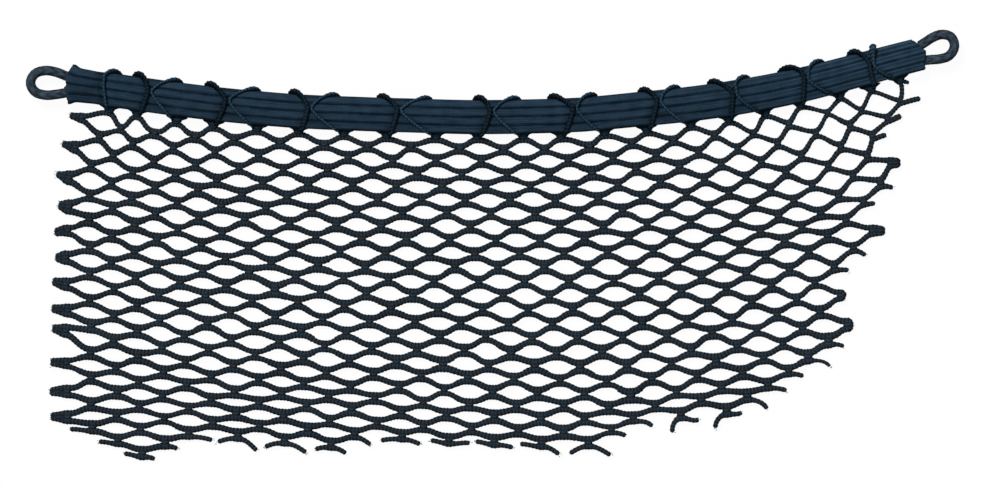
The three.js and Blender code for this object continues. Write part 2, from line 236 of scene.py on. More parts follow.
# On the left each odd row's two cords end together, at these places, the upper ones drawn thinner
THIN_TIPS = 3
THIN_GIRTH = 0.8
LEFT_TIPS = [
    (-203.7, 62.2), (-207.4, 48.6), (-210.2, 34.0), (-209.3, 19.0), (-211.1, 5.8), (-210.7, -6.4),
    (-212.1, -17.7), (-212.5, -30.8), (-212.2, -40.4), (-213, -56.7), (-213.4, -71), (-213, -83),
]

# In front of the band: each crossing's grid column, the x of its middle and how far up the band
# that is (a part of the half width), the x where its left and right cords turn over the edge, and
# how many times as far as most they lean along it there
Crossing = namedtuple("Crossing", "column middle part left right left_lean right_lean", defaults=(1, 1))
CROSSINGS = [
    Crossing(-18, -188, 0.2, None, -182.4),
    Crossing(-14, -165, 0.24, -170.5, -152.9),
    Crossing(-10, -127.5, 0.3, -136, -115.2),
    Crossing(-6, -87.9, 0.23, -95.5, -77),
    Crossing(-2, -44.7, 0.37, -53, -32.4),
    Crossing(2, 0, 0.35, -6.5, 10.2),
    Crossing(6, 40, 0.36, 29.5, 47.2),
    Crossing(10, 80.4, 0.41, 73, 87.3),
    Crossing(14, 117, 0.25, 106.5, 120.8),
    Crossing(18, 151.4, 0.28, 142.3, 156.5, 1.8),
    Crossing(22, 183, 0.12, 174, 183.4, right_lean=0.1),
]

BandStation = namedtuple("BandStation", "x y width")
BAND_STATIONS = [
    BandStation(-204.5, 77.5, 16.4),
    BandStation(-121.9, 66.6, 16.4),
    BandStation(-39.3, 61.8, 16.5),
    BandStation(43.3, 62.9, 16.6),
    BandStation(125.9, 72.1, 16.9),
    BandStation(208.5, 92.4, 15.8),
]
LEFT_X, RIGHT_X = BAND_STATIONS[0].x, BAND_STATIONS[-1].x

LEFT_EYE = [
    (-205, 81), (-210.5, 83.1), (-215.7, 83.8), (-220.5, 82.2), (-222.6, 77.9),
    (-220.4, 73.6), (-215.5, 72), (-210.5, 72.3), (-206.2, 73),
]
RIGHT_EYE = [
    (208.4, 97.4), (212.2, 99.8), (216.6, 101.2), (221, 99.9), (222.6, 95.4),
    (220.2, 91.1), (216, 89.5), (210.8, 89),
]


# ---- Curves ----

PATH_SAMPLES = 17  # of each stretch of a path, before they are spaced evenly
SAME_PLACE = 1e-9  # points closer than this count as one


def uniform_curve(points, at):
    """The point at a place from 0 to 1 on the curve through evenly numbered points."""
    points = np.asarray(points, float)
    place = at * (len(points) - 1)
    i = min(max(math.floor(place), 0), len(points) - 2)
    t = place - i
    a, b = points[i], points[i + 1]
    before = points[i - 1] if i > 0 else 2 * points[0] - points[1]
    after = points[i + 2] if i + 2 < len(points) else 2 * points[-1] - points[-2]
    square = 2 * before - 5 * a + 4 * b - after
    cube = 3 * a - before - 3 * b + after
    return 0.5 * (2 * a + (b - before) * t + square * t ** 2 + cube * t ** 3)


def bell(distance, reach):
    """From 1 where the distance is nothing, falling smoothly to almost nothing at twice the reach."""
    return np.exp(-((distance / reach) ** 2))


def unit(vectors):
    return vectors / np.linalg.norm(vectors, axis=-1, keepdims=True)


def across(direction):
    """A flat direction turned a quarter anticlockwise."""
    return np.array([-direction[1], direction[0]])


def turned(direction, angle):
    """A flat direction turned anticlockwise by an angle."""
    return direction * math.cos(angle) + across(direction) * math.sin(angle)


def raised(place, height):
    return np.array([place[0], place[1], height])


def hermite_path(points, slopes, step=RING_STEP):
    """A smooth line through points that leaves each one along its slope, with even steps."""
    t = np.linspace(0, 1, PATH_SAMPLES)[:, None]
    stretches = []
    for a, b, leave, arrive in zip(points, points[1:], slopes, slopes[1:]):
        reach = np.linalg.norm(b - a)
        stretches.append(
            a * (1 + 2 * t) * (1 - t) ** 2
            + b * (3 - 2 * t) * t ** 2
            + leave * reach * t * (1 - t) ** 2
            + arrive * reach * t ** 2 * (t - 1)
        )
    return even_steps(np.concatenate(stretches), step)


def length_along(line):
    return np.append(0, np.cumsum(np.linalg.norm(np.diff(line, axis=0), axis=1)))


def even_steps(line, step):
    along = length_along(line)
    keep = np.append(True, np.diff(along) > SAME_PLACE)
    along, line = along[keep], line[keep]
    places = np.linspace(0, along[-1], max(4, round(along[-1] / step)) + 1)
    return np.stack([np.interp(places, along, line[:, k]) for k in range(3)], axis=1)


def spline_path(points, step=RING_STEP):
    """A smooth line through points whose slope at each one follows its neighbours."""
    points = [np.asarray(p, float) for p in points]
    ahead = points[1:] + [points[-1]]
    behind = [points[0]] + points[:-1]
    return hermite_path(points, [unit(b - a) for a, b in zip(behind, ahead)], step)


def travelling_frames(line):
    """Along a line: a side and a lift that turn as little as they can, with the lift first up."""
    tangents = unit(np.gradient(line, axis=0))
    sides = np.empty_like(tangents)
    side = np.cross(UP, tangents[0])
    for i, tangent in enumerate(tangents):
        side = unit(side - tangent * (side @ tangent))
        sides[i] = side
    return sides, np.cross(tangents, sides)


# ---- Surfaces ----

class Surface:
    """Closed tubes and blobs, gathered into one mesh. Each corner carries its place along and round
    its own tube, and each point a tone that makes the cloth there darker or lighter."""

    def __init__(self):
        self.points, self.faces, self.places, self.tones = [], [], [], []
        self.count = 0

    def add(self, rings, along, tone=1.0):
        """Rings of points, from a start to an end that are both closed over."""
        length, sides = rings.shape[:2]
        index = self.count + np.arange(length * sides).reshape(length, sides)
        following = np.roll(index, -1, axis=1)
        quads = np.stack([index[:-1], following[:-1], following[1:], index[1:]], axis=-1)
        self.faces += quads.reshape(-1, 4).tolist()
        turn = np.arange(sides + 1) / sides
        low, high = np.meshgrid(along[:-1], turn[:-1], indexing="ij")
        far, far_turn = np.meshgrid(along[1:], turn[1:], indexing="ij")
        corners = [(low, high), (low, far_turn), (far, far_turn), (far, high)]
        self.places.append(np.stack([np.stack(c, axis=-1) for c in corners], axis=2).reshape(-1, 2))
        start = self.count + length * sides
        for centre, ring, next_ring, place in (
            (start, following[0], index[0], along[0]),
            (start + 1, index[-1], following[-1], along[-1]),
        ):
            self.faces += [[centre, a, b] for a, b in zip(ring.tolist(), next_ring.tolist())]
            fan = [[(place, v)] * 3 for v in turn[:-1] + 0.5 / sides]
            self.places.append(np.array(fan).reshape(-1, 2))
        self.points += [rings.reshape(-1, 3), np.stack([rings[0].mean(axis=0), rings[-1].mean(axis=0)])]
        tones = np.broadcast_to(tone, (length, sides))
        self.tones += [tones.ravel(), [tones[0].mean(), tones[-1].mean()]]
        self.count += length * sides + 2

    def build(self, name, material):
        mesh = bpy.data.meshes.new(name)
        mesh.from_pydata((np.concatenate(self.points) * MM).tolist(), [], self.faces)
        mesh.uv_layers.new(name="UVMap").data.foreach_set("uv", np.concatenate(self.places).ravel())
        mesh.attributes.new("tone", "FLOAT", "POINT").data.foreach_set("value", np.concatenate(self.tones))
        mesh.shade_smooth()
        mesh.materials.append(material)
        piece = bpy.data.objects.new(name, mesh)
        bpy.context.scene.collection.objects.link(piece)
        return piece


def cord_rings(line, side_radius, lift_radius, sides=CORD_SIDES, relief=STITCH_RELIEF, frames=None):
    """The rings of a knitted cord along a line, blunt at both ends, with its chain of stitches."""
    angles = TURN * np.arange(sides) / sides
    from_top = np.abs((angles + TURN / 4) % TURN - TURN / 2)
    side, lift = frames or travelling_frames(line)
    along = length_along(line)
    from_end = np.clip(np.minimum(along, along[-1] - along) / BLUNT_END[0], 0, 1)
    blunt = np.maximum(np.sqrt(from_end * (2 - from_end)), BLUNT_END[1])
    stitches = np.cos(TURN * along[:, None] / STITCH_PITCH - STITCH_SLANT * from_top)
    size = blunt[:, None] * (1 + relief * stitches)
    wide = size * np.broadcast_to(side_radius, len(line))[:, None] * np.cos(angles)
    high = size * np.broadcast_to(lift_radius, len(line))[:, None] * np.sin(angles)
    return line[:, None] + wide[..., None] * side[:, None] + high[..., None] * lift[:, None]


# ---- Places on the band ----

BandPlace = namedtuple("BandPlace", "middle tangent normal half")
NUDGE = 0.001  # either way along the band, if its whole length is 1, to find its direction


def band_at(x):
    at = (x - LEFT_X) / (RIGHT_X - LEFT_X)
    place = uniform_curve(BAND_STATIONS, at)
    ahead = uniform_curve(BAND_STATIONS, at + NUDGE)
    tangent = unit((ahead - uniform_curve(BAND_STATIONS, at - NUDGE))[:2])
    return BandPlace(place[:2], tangent, across(tangent), place[2] / 2)


def station_under(x, part):
    """The middle line's x, where a point that part of the half width up has this x."""
    place = band_at(x)
    return x - place.normal[0] * part * place.half


def on_band(x, part, height, past=0.0):
    """A point with this x that part of the half width up from the band's middle, and past that."""
    place = band_at(station_under(x, part))
    return raised(place.middle + place.normal * (part * place.half + past * np.sign(part)), height)


# ---- The net's knots and meshes ----

STRAY_TABLE = (60, 60, 4)  # more rows and columns than the net has, and the four kinds of stray
STRAY_ORIGIN = (20, 25)  # where the net's row 0 and column 0 are in it
stray = np.random.default_rng(SEED).normal(0, UNEVENNESS, STRAY_TABLE)


def stray_at(row, column):
    return stray[row + STRAY_ORIGIN[0], column + STRAY_ORIGIN[1]]


def grid_point(row, column):
    across_net = (column - NET_SECTIONS[0].column) / (NET_SECTIONS[-1].column - NET_SECTIONS[0].column)
    down_net = (row - SECTION_ROWS[0]) / (SECTION_ROWS[-1] - SECTION_ROWS[0])
    rows = zip(*[section[1:] for section in NET_SECTIONS])
    return uniform_curve([uniform_curve(points, across_net) for points in rows], down_net)


def knot_point(row, column):
    if row == HEADING_ROW:
        return np.array(HEADING_KNOTS[column])
    if (row, column) in MOVED_KNOTS:
        return np.array(MOVED_KNOTS[row, column])
    even = grid_point(row, column)
    point = even + stray_at(row, column)[:2]
    for place, shift, reach in PULLS:
        point = point + np.array(shift) * bell(np.linalg.norm(even - place), reach)
    return point


def row_direction(row, column):
    left, right = max(column - 1, NET_SECTIONS[0].column), min(column + 1, NET_SECTIONS[-1].column)
    return unit(grid_point(row, right) - grid_point(row, left))


def squareness(row, column):
    """From 0 where a mesh is wide and low, as most are, to 1 where it is almost square."""
    column = min(max(column, NET_SECTIONS[0].column + 1), NET_SECTIONS[-1].column - 1)
    height = np.linalg.norm(grid_point(row + 1, column) - grid_point(row - 1, column))
    width = np.linalg.norm(grid_point(row, column + 1) - grid_point(row, column - 1))
    return np.interp(height / width, WIDE_TO_SQUARE, (0, 1))


def thinness(row, column):
    """How thick cords and a knot are here, as a part of what they are in wide, slack meshes."""
    taut = min(max(1 - (row - TOP_ROW) / TAUT_ROWS, 0), 1)
    even = 1 - SQUARE_SHRINK * squareness(row, column) - TAUT_SHRINK * taut
    return even * (1 + stray_at(row, column)[3])


def whole_meshes():
    for i, last in enumerate(LAST_COLUMNS):
        row = TOP_ROW + i
        for column in range(max(FIRST_COLUMN + i % 2, row - CORNER_ROW), last + 1, 2):
            yield row, column


def back_columns():
    return [(a.column + b.column) // 2 for a, b in zip(CROSSINGS, CROSSINGS[1:])]


# A wave is one cord that runs across the net from the knots of one row up to those of the row
# above and down again. Each opening lies between two waves, and two of them meet at each knot.


def wave_knot(wave, column):
    return (wave, column) if (wave + column) % 2 else (wave - 1, column)


def wave_runs():
    """Each wave's unbroken runs of columns, as (wave, first column, last column)."""
    sides = set()
    for row, column in whole_meshes():
        for wave in (row, row + 1):
            sides |= {(wave, column - 1), (wave, column)}
    for column in back_columns():
        sides |= {(TOP_ROW, column - 1), (TOP_ROW, column)}
    sides.add((TOP_ROW, CROSSINGS[-1].column))
    for end in CUT_ENDS:
        lower = end.row + 1
        if end.left and end.right and not {(lower, end.column - 1), (lower, end.column)} & sides:
            yield lower, end.column, end.column
    for wave, column in sorted(sides):
        if (wave, column - 1) in sides:
            continue
        last = column
        while (wave, last) in sides:
            last += 1
        yield wave, column, last


FreeEnd = namedtuple("FreeEnd", "reach fused girth bend")


def free_ends():
    """Each knot's free ends, as {(row, column, side): free end}, with side -1 on the left."""
    ends = {}
    for end in CUT_ENDS:
        for side, reach in ((-1, end.left), (1, end.right)):
            if reach:
                ends[end.row, end.column, side] = FreeEnd(np.array(reach), end.fused, end.girth, end.bend)
    for i, tip in enumerate(LEFT_TIPS):
        row, column = TOP_ROW + 2 * i, FIRST_COLUMN - 1
        girth = THIN_GIRTH if i < THIN_TIPS else 1
        ends[row, column, -1] = FreeEnd(tip - knot_point(row, column), True, girth, 0)
    return ends


FREE_ENDS = free_ends()
LAST_HEADING_KNOT = (HEADING_ROW, CROSSINGS[-1].column + 1)  # where the top wave turns back


def wave_place(wave, column):
    """Where a wave passes its knot at this column, and the slope with which it does."""
    row, _ = wave_knot(wave, column)
    direction = row_direction(row, column)
    offset = KNOT_OFFSET * thinness(row, column) * (1 if row == wave else -1)
    if wave == row == TOP_ROW:
        offset -= TROUGH_DROP
    roundness = np.interp(squareness(row, column), (0, 1), WAVE_SLOPES)
    slope = direction * roundness * (1 + stray_at(row, column)[2])
    if (row, column) == LAST_HEADING_KNOT:
        slope = -slope
    return knot_point(row, column) + across(direction) * offset, slope


def wave_end(wave, column, side):
    """The free end past the last knot of a wave's run, and how it points there."""
    row, _ = wave_knot(wave, column)
    end = FREE_ENDS.get((row, column, side))
    upper = row == wave
    if end is None or (upper and not end.fused):
        return None
    place = knot_point(row, column) + end.reach
    direction = unit(end.reach) * side
    if end.fused:
        place = place + across(direction) * FUSED_OFFSET * min(end.girth, 1) * (1 if upper else -1)
    return raised(place, FLAT_HEIGHT), raised(turned(direction, end.bend), 0), end.girth


def wave_line(wave, first, last):
    """A wave's middle line, where along it the knots are, how thin it is there, and its girth at
    its two ends."""
    places = [wave_place(wave, column) for column in range(first, last + 1)]
    thin = np.array([thinness(*wave_knot(wave, column)) for column in range(first, last + 1)])
    points = [raised(point, FLAT_HEIGHT) for point, _ in places]
    slopes = [raised(slope, 0) for _, slope in places]
    knots = np.array(points)
    girths = [1, 1]
    for k, column in enumerate((first, last)):
        end = wave_end(wave, column, 2 * k - 1)
        if end is not None:
            points.insert(k * len(points), end[0])
            slopes.insert(k * len(slopes), end[1])
            girths[k] = end[2]
    return hermite_path(points, slopes), knots, thin, girths


def cord_widths(line, knots, thin, girths):
    """Half the width along a cord: spread flat between its knots and rounder in its free ends."""
    distances = np.linalg.norm(line[:, None] - knots[None], axis=2)
    first, last = distances[:, 0].argmin(), distances[:, -1].argmin()
    shrink = thin[distances.argmin(axis=1)]
    plain = FLANK_RADIUS * shrink
    plain[:first] = FREE_RADIUS * girths[0]
    plain[last + 1:] = FREE_RADIUS * girths[1]
    swell = bell(distances.min(axis=1), KNOT_SPREAD)
    return plain + (KNOT_RADIUS * shrink - plain) * swell


def add_knot(surface, centre, direction, size=KNOT_SIZE, height=FLAT_HEIGHT, tone=1.0, flare=0.0):
    """The knitted join of two cords: a low blob with slanting stitches, whose upper end may flare."""
    lengthways = np.linspace(-KNOT_REACH, KNOT_REACH, KNOT_RINGS)
    angles = TURN * np.arange(CORD_SIDES) / CORD_SIDES
    bulge = (1 - lengthways ** 4)[:, None] ** 0.5
    phase, lag, relief = KNOT_STITCHES
    stitch = 1 + relief * np.cos(phase * lengthways[:, None] + lag * np.abs(np.cos(angles)))
    spread = size[0] + flare * ((1 + lengthways[:, None]) / 2) ** 3
    wide = spread * bulge * stitch * np.cos(angles)
    high = size[2] * bulge * stitch * np.sin(angles)
    flat = centre + size[1] * lengthways[:, None, None] * across(direction) - wide[..., None] * direction
    surface.add(np.concatenate([flat, height + high[..., None]], axis=2), size[1] * lengthways, tone)


# Loose fibres at a cut end. The last three are how far their direction, root and bend scatter, and the
# part of that upwards.
FIBRES = 5
FIBRE_SIDES = 4
FIBRE_LENGTHS = (0.4, 0.8)
FIBRE_RADII = (0.17, 0.14, 0.07)  # from root to tip
FIBRE_START = 0.3  # how far inside the cord they start
FIBRE_FLOOR = 0.25  # the least height of their middle
FIBRE_TONE = 0.8
FIBRE_AIM, FIBRE_ROOT, FIBRE_BEND = (0.5, 0.5), (0.5, 0.6), (0.2, 0.3)


def scatter(chance, spread, upwards):
    return chance.normal(0, spread, 3) * (1, 1, upwards)


def add_fibres(surface, end, direction, chance):
    angles = TURN * np.arange(FIBRE_SIDES) / FIBRE_SIDES
    for _ in range(FIBRES):
        heading = unit(direction + scatter(chance, *FIBRE_AIM))
        length = chance.uniform(*FIBRE_LENGTHS)
        start = end - direction * FIBRE_START + scatter(chance, *FIBRE_ROOT)
        bend = scatter(chance, *FIBRE_BEND)
        line = np.array([start + heading * length * t + bend * t * t for t in (0, 0.5, 1)])
        line[:, 2] = np.maximum(line[:, 2], FIBRE_FLOOR)
        side, lift = travelling_frames(line)
        radius = np.array(FIBRE_RADII)[:, None, None]
        spokes = side[:, None] * np.cos(angles)[:, None] + lift[:, None] * np.sin(angles)[:, None]
        surface.add(line[:, None] + radius * spokes, length_along(line), FIBRE_TONE)


# Where a knot's two cords end together: the melted web between them, and the blob at a thick tip
FUSED_OVERLAP = 0.3  # how far the web goes past the knot and the tip
FUSED_HALF_WIDTH = (1.9, 0.2)  # the web's least, and how much more it may be
FUSED_LIFTS = (1.25, 1.3)  # half the height of the web and of the blob
FUSED_TONES = (0.8, 0.9)
BLOB_SIZE = 2  # half its width, at a girth of 1


def add_fused_end(surface, knot, end, chance):
    direction = unit(end.reach)
    half = np.linalg.norm(end.reach) / 2
    half_width = (FUSED_HALF_WIDTH[0] + FUSED_HALF_WIDTH[1] * chance.random()) * min(end.girth, 1)
    web = (half + FUSED_OVERLAP, half_width, FUSED_LIFTS[0])
    add_knot(surface, knot + direction * half, direction, web, tone=FUSED_TONES[0])
    if end.girth > 1:
        blob = (BLOB_SIZE * end.girth, BLOB_SIZE * end.girth, FUSED_LIFTS[1])
        add_knot(surface, knot + end.reach - direction, direction, blob, tone=FUSED_TONES[1])


def add_cords(surface_of, chance):
    """The net's cords, each in the surface of its row. Returns the knots that they pass."""
    knots = set()
    for wave, first, last in wave_runs():
        line, *knots_and_girths = wave_line(wave, first, last)
        rings = cord_rings(line, cord_widths(line, *knots_and_girths), LIFT_RADIUS)
        surface_of(wave).add(rings, length_along(line), chance.uniform(*CORD_TONES))
        knots |= {wave_knot(wave, column) for column in range(first, last + 1)}
    return knots


def flat_net(surface_of, chance):
    """The net below its heading, each cord and knot in the surface of its row."""
    for row, column in sorted(add_cords(surface_of, chance)):
        thin = thinness(row, column)
        width = KNOT_SIZE[0] * (KNOT_WIDTH[0] + KNOT_WIDTH[1] * thin)
        size = (width, KNOT_SIZE[1] * thin, KNOT_SIZE[2])
        tone = chance.uniform(*KNOT_TONES)
        add_knot(surface_of(row), knot_point(row, column), row_direction(row, column), size, tone=tone)
    for (row, column, side), end in FREE_ENDS.items():
        surface = surface_of(row)
        knot = knot_point(row, column)
        direction = unit(end.reach)
        if end.fused:
            add_fused_end(surface, knot, end, chance)
        for offset in (-FUSED_OFFSET, FUSED_OFFSET) if end.fused else (0,):
            place = raised(knot + end.reach + across(direction) * offset, FLAT_HEIGHT)
            add_fibres(surface, place, raised(turned(direction, end.bend * side), 0), chance)


# ---- The heading, where cords wrap round the band ----

# How each cord of a crossing lies, by side: half its thickness down the front, and where it turns
# over the band's upper edge; how far it leans along the edge there; how far its middle is past the
# edge; and its tone, painted shade on the left cord and painted light on the right one
Wrap = namedtuple("Wrap", "radius turn_radius lean past tone")
WRAPS = {-1: Wrap(1.15, 1.45, 2.8, 0.9, 0.6), 1: Wrap(0.65, 1.3, 4.2, 0.5, 1.9)}
STUB_RADIUS = 2.0  # of the cord that ends at the band's upper edge
TURN_REACH = 3.4  # how far from the edge a cord is that thick
WRAP_RELIEF = 0.15
SHADOWED_FEET = 100  # right of this x, the right-hand cords are thicker and, with painted shadow, darker towards their knots
PAINTED_FOOT_SHADOW = (13.0, 0.45, 0.75)  # how far up that reaches, how much thicker, and how much darker the painted shadow makes them
FLUSH = 0.3  # how far a cord stands above the band in the crease that it pulls into it
BACK_HEIGHT = FLAT_HEIGHT + FLOOR_GAP  # the middle of a cord behind the band
FOOT_LEAN = 0.3  # how far beside its knot a cord passes the lower edge, of its way from the middle
FOOT_LEANS = (1.2, 3.2)  # the least and the most that can be
CURVE = 1.4  # how sharply the cords of a crossing bend together at its middle
PARTS = np.linspace(1, -1, 21)
WEB = (2.1, 2.2, 1.3)  # half the size of the web between a heading knot and the band
WEB_FLARE = 7.0  # how much wider it is at the band
WEB_SHIFT = (0.6, 0.8)  # how far its middle is from the knot, towards the band and upwards
WEB_TONE = 0.85
BACK_TONE = 0.9  # of the knots behind the band
WRAP_TONES = (0.9, 1.1)

# A wrap's places round the band, from behind its upper edge to behind its lower one
RISE_PART = 0.75  # how far up the band it is as it comes up from behind
OVER = ((0.5, -0.9, 0.9), (-0.4, 0.8, 1))  # over the edge: part of its lean, height, part of its past
EDGE_HEIGHT = 0.6  # above the band's middle, as it passes the lower edge
TOE = (0.8, -0.7, 1)  # just before its knot: towards the band, along it and upwards
SINK = (1.6, 2.2)  # just after its knot: towards the band's middle and along it
BACK_SPREAD = 1.2  # from the band's middle, at the crossing behind it
STUB_TIP = (1, 2.3)  # the last wrap's upper end: its height, and how far past the edge it is
STUB_BEND = 0.3  # how far past the edge it is at the band's face
TAIL = (4.7, -0.9)  # its lower end, from its knot


def turn_x(crossing, side):
    return crossing.left if side < 0 else crossing.right


def turn_lean(crossing, side):
    return WRAPS[side].lean * (crossing.left_lean if side < 0 else crossing.right_lean)


def foot_lean(crossing, side):
    way = abs(HEADING_KNOTS[crossing.column + side][0] - crossing.middle)
    return min(max(FOOT_LEAN * way, FOOT_LEANS[0]), FOOT_LEANS[1])


def front_course(crossing, side):
    """The x of a crossing's cord at each of PARTS, from the band's upper edge to its lower one."""
    wrap = WRAPS[side]
    turn = turn_x(crossing, side) - side * turn_lean(crossing, side)
    foot = HEADING_KNOTS[crossing.column + side][0] - side * foot_lean(crossing, side)
    kiss = crossing.middle + side * wrap.radius
    up = np.clip((PARTS - crossing.part) / (1 - crossing.part), 0, 1) ** CURVE
    down = np.clip((crossing.part - PARTS) / (1 + crossing.part), 0, 1) ** CURVE
    return kiss + (turn - kiss) * up + (foot - kiss) * down


def outward_frames(line):
    """Along a line round the band: a side, and a lift that points away from the band's middle."""
    outward = np.empty_like(line)
    for i, point in enumerate(line):
        place = band_at(point[0])
        offset = (point[:2] - place.middle) @ place.normal / place.half
        outward[i] = raised(place.normal * offset ** 5, (point[2] - BAND_MIDDLE) / 2)
    tangents = unit(np.gradient(line, axis=0))
    sides = unit(np.cross(outward, tangents))
    return sides, np.cross(tangents, sides)


def back_place(i):
    """The middle of the crossing behind the band, after the front crossing i."""
    return band_at((CROSSINGS[i].middle + CROSSINGS[i + 1].middle) / 2)


def beside(foot, towards, along, height):
    """A place beside a heading knot: how far towards the band's middle, and how far along the band."""
    edge = band_at(foot[0])
    return raised(foot + edge.normal * towards + edge.tangent * along, height)


def wrap_line(i, side):
    """One cord of front crossing i, round the band: up from behind, over the upper edge, down the
    front past the crossing's middle, round the lower edge at its knot and up behind again."""
    crossing = CROSSINGS[i]
    wrap = WRAPS[side]
    turn = turn_x(crossing, side)
    foot = knot_point(HEADING_ROW, crossing.column + side)
    course = front_course(crossing, side)
    lean = side * turn_lean(crossing, side)
    height = BAND_TOP + FLUSH - wrap.radius
    front = [on_band(course[k], PARTS[k], height) for k in range(2, len(PARTS) - 2, 2)]
    over = [on_band(turn + lean * part, 1, BAND_MIDDLE + up, wrap.past * past) for part, up, past in OVER]
    toe = [
        on_band(foot[0] - side * foot_lean(crossing, side), -1, BAND_MIDDLE + EDGE_HEIGHT),
        beside(foot, TOE[0], side * TOE[1], FLAT_HEIGHT + TOE[2]),
    ]
    behind = i - 1 if side < 0 else i
    if behind >= len(CROSSINGS) - 1:
        tip = on_band(turn, 1, BAND_MIDDLE + STUB_TIP[0], STUB_TIP[1])
        bend = on_band(turn, 1, BAND_TOP, STUB_BEND)
        return spline_path([tip, bend, *front, *toe, raised(foot + TAIL, FLAT_HEIGHT)])
    back = back_place(behind)
    rise = on_band(turn + lean, RISE_PART, BACK_HEIGHT)
    sink = beside(foot, SINK[0], side * SINK[1], BACK_HEIGHT)
    upper = raised(back.middle + back.normal * BACK_SPREAD, BACK_HEIGHT)
    lower = raised(back.middle - back.normal * BACK_SPREAD, BACK_HEIGHT)
    return spline_path([upper, rise, *over, *front, *toe, sink, lower])


def add_wrap(surface, i, side, chance):
    crossing = CROSSINGS[i]
    wrap = WRAPS[side]
    line = wrap_line(i, side)
    ends_here = i == len(CROSSINGS) - 1 and side > 0
    turn = on_band(turn_x(crossing, side), 1, BAND_MIDDLE)
    near = bell(np.linalg.norm(line - turn, axis=1), TURN_REACH)
    widths = wrap.radius + ((STUB_RADIUS if ends_here else wrap.turn_radius) - wrap.radius) * near
    # Painted shade darkens the left cords and painted light brightens the right ones, through their tone.
    tones = wrap.tone * chance.uniform(*WRAP_TONES) * np.ones_like(widths)
    if side > 0 and crossing.middle > SHADOWED_FEET:
        foot = raised(knot_point(HEADING_ROW, crossing.column + side), BAND_TOP)
        near_foot = bell(np.linalg.norm(line - foot, axis=1), PAINTED_FOOT_SHADOW[0])
        widths = widths + PAINTED_FOOT_SHADOW[1] * near_foot
        # Painted shadow: the cord's colour darkens towards its knot.
        tones = tones * (1 - PAINTED_FOOT_SHADOW[2] * near_foot)
    frames = travelling_frames(line) if ends_here else outward_frames(line)
    heights = np.minimum(widths, line[:, 2] - BACK_HEIGHT + LIFT_RADIUS)
    rings = cord_rings(line, widths, heights, relief=WRAP_RELIEF, frames=frames)
    surface.add(rings, length_along(line), tones[:, None])


def heading(surface, chance):
    for i, crossing in enumerate(CROSSINGS):
        for side in (-1, 1):
            if side < 0 and crossing.left is None:
                continue
            add_wrap(surface, i, side, chance)
            foot = knot_point(HEADING_ROW, crossing.column + side)
            edge = band_at(foot[0])
            centre = foot + edge.normal * WEB_SHIFT[0]
            add_knot(surface, centre, edge.tangent, WEB, FLAT_HEIGHT + WEB_SHIFT[1], WEB_TONE, WEB_FLARE)
    for i in range(len(CROSSINGS) - 1):
        back = back_place(i)
        add_knot(surface, back.middle, back.tangent, height=BACK_HEIGHT, tone=BACK_TONE)


# ---- The band ----

RIBS = 4
RIB_DEPTH = 0.5
SEAM_DEPTH = 0.14  # of the faint line along each rib's middle
SEAM_WIDTH = 0.05  # the part of a rib's rise that this line takes up
EDGE_ROUND = 0.16  # of the half width
CREASE_DEPTH = 1.0  # how far a crossing's cords pull the band's face in
CREASE_REACH = 2.6  # how far that reaches from them
BULGE = 0.35  # how far it swells between crossings
BULGE_REACH = 7  # how far from the cords it has most of that
LONE_SPAN = 1.5  # how wide a crossing with one cord counts as
CUT_ROUGHNESS = (0.4, 0.2)  # of the left end and the right end
CUT_GAIN = 1.7  # makes up for most of what smoothing takes off an uneven line
RIGHT_SLANT = 1.9  # how far the right end's cut is from square, at each edge
BEVEL = (0.15, 6.8)  # the right end's upper corner: where across the band its cut starts, and its length
END_BLEND = 9.0  # the length over which an end's ragged line evens out
FLARE = (1.5, 2.6)  # how far the left end's corners spread, and over what length
LEFT_BOW = (1.8, 3.2)  # how far back the left end's corners are, and how far out its middle is
PINCH = (14.0, 4.5)  # how far from the left end the band is drawn in, and over what length
PINCH_DEPTHS = (0.04, 0.4)  # the part by which it is narrower there, and how much thinner
SWAY = (0.18, 16)  # how far it wanders up and down, and at how many places
RIGHT_WEAVE = (290, 370)  # how far along its ribs give way to finer ones
BAND_RINGS = 420
BAND_SIDES = 144

BAND_TONE = (0.98, 0.14)  # at its middle line, and how much lighter its upper edge is
CREASE_SHADE = (1.6, 0.16)  # how far the shade in a crease reaches from the cords, and how dark it is
GROOVE_SHADE = (0.9, 0.7, 0.25)  # left of a crossing: how far its middle is, its reach, how dark it is
LEFT_SHADE = (8, 7, 0.25, 0.6)  # the same from the left end, and how far up the band it goes
RIGHT_LIGHT = (105, 190, 0.3)  # between which x the band turns lighter, and by how much


def ragged(count, roughness, chance):
    """An uneven line round a closed section of that many points."""
    line = chance.normal(0, roughness, count)
    for _ in range(2):
        line = (line + np.roll(line, 1) + np.roll(line, -1)) / 3
    return line * CUT_GAIN


def crossing_spans(parts):
    """For each crossing, the middle line's x under its left and right cord, at parts of the half
    width up the band. Where it has no left cord, its span starts a little left of the right one."""
    spans = []
    for crossing in CROSSINGS:
        both = []
        for side in (-1, 1):
            missing = side < 0 and crossing.left is None
            course = front_course(crossing, 1) - LONE_SPAN if missing else front_course(crossing, side)
            xs = [station_under(x, part) for x, part in zip(course, PARTS)]
            both.append(np.interp(parts, PARTS[::-1], xs[::-1]))
        spans.append(both)
    return np.array(spans)


def band_cuts(part, chance):
    """How far in from square the left and the right end are cut, round the section."""
    left = ragged(len(part), CUT_ROUGHNESS[0], chance) + LEFT_BOW[0] - LEFT_BOW[1] * (1 - part ** 2)
    corner = np.clip((part - BEVEL[0]) / (1 - BEVEL[0]), 0, 1)
    right = ragged(len(part), CUT_ROUGHNESS[1], chance) - RIGHT_SLANT * part + BEVEL[1] * corner
    return left, right


def pinch_at(x):
    return bell(x - LEFT_X - PINCH[0], PINCH[1])


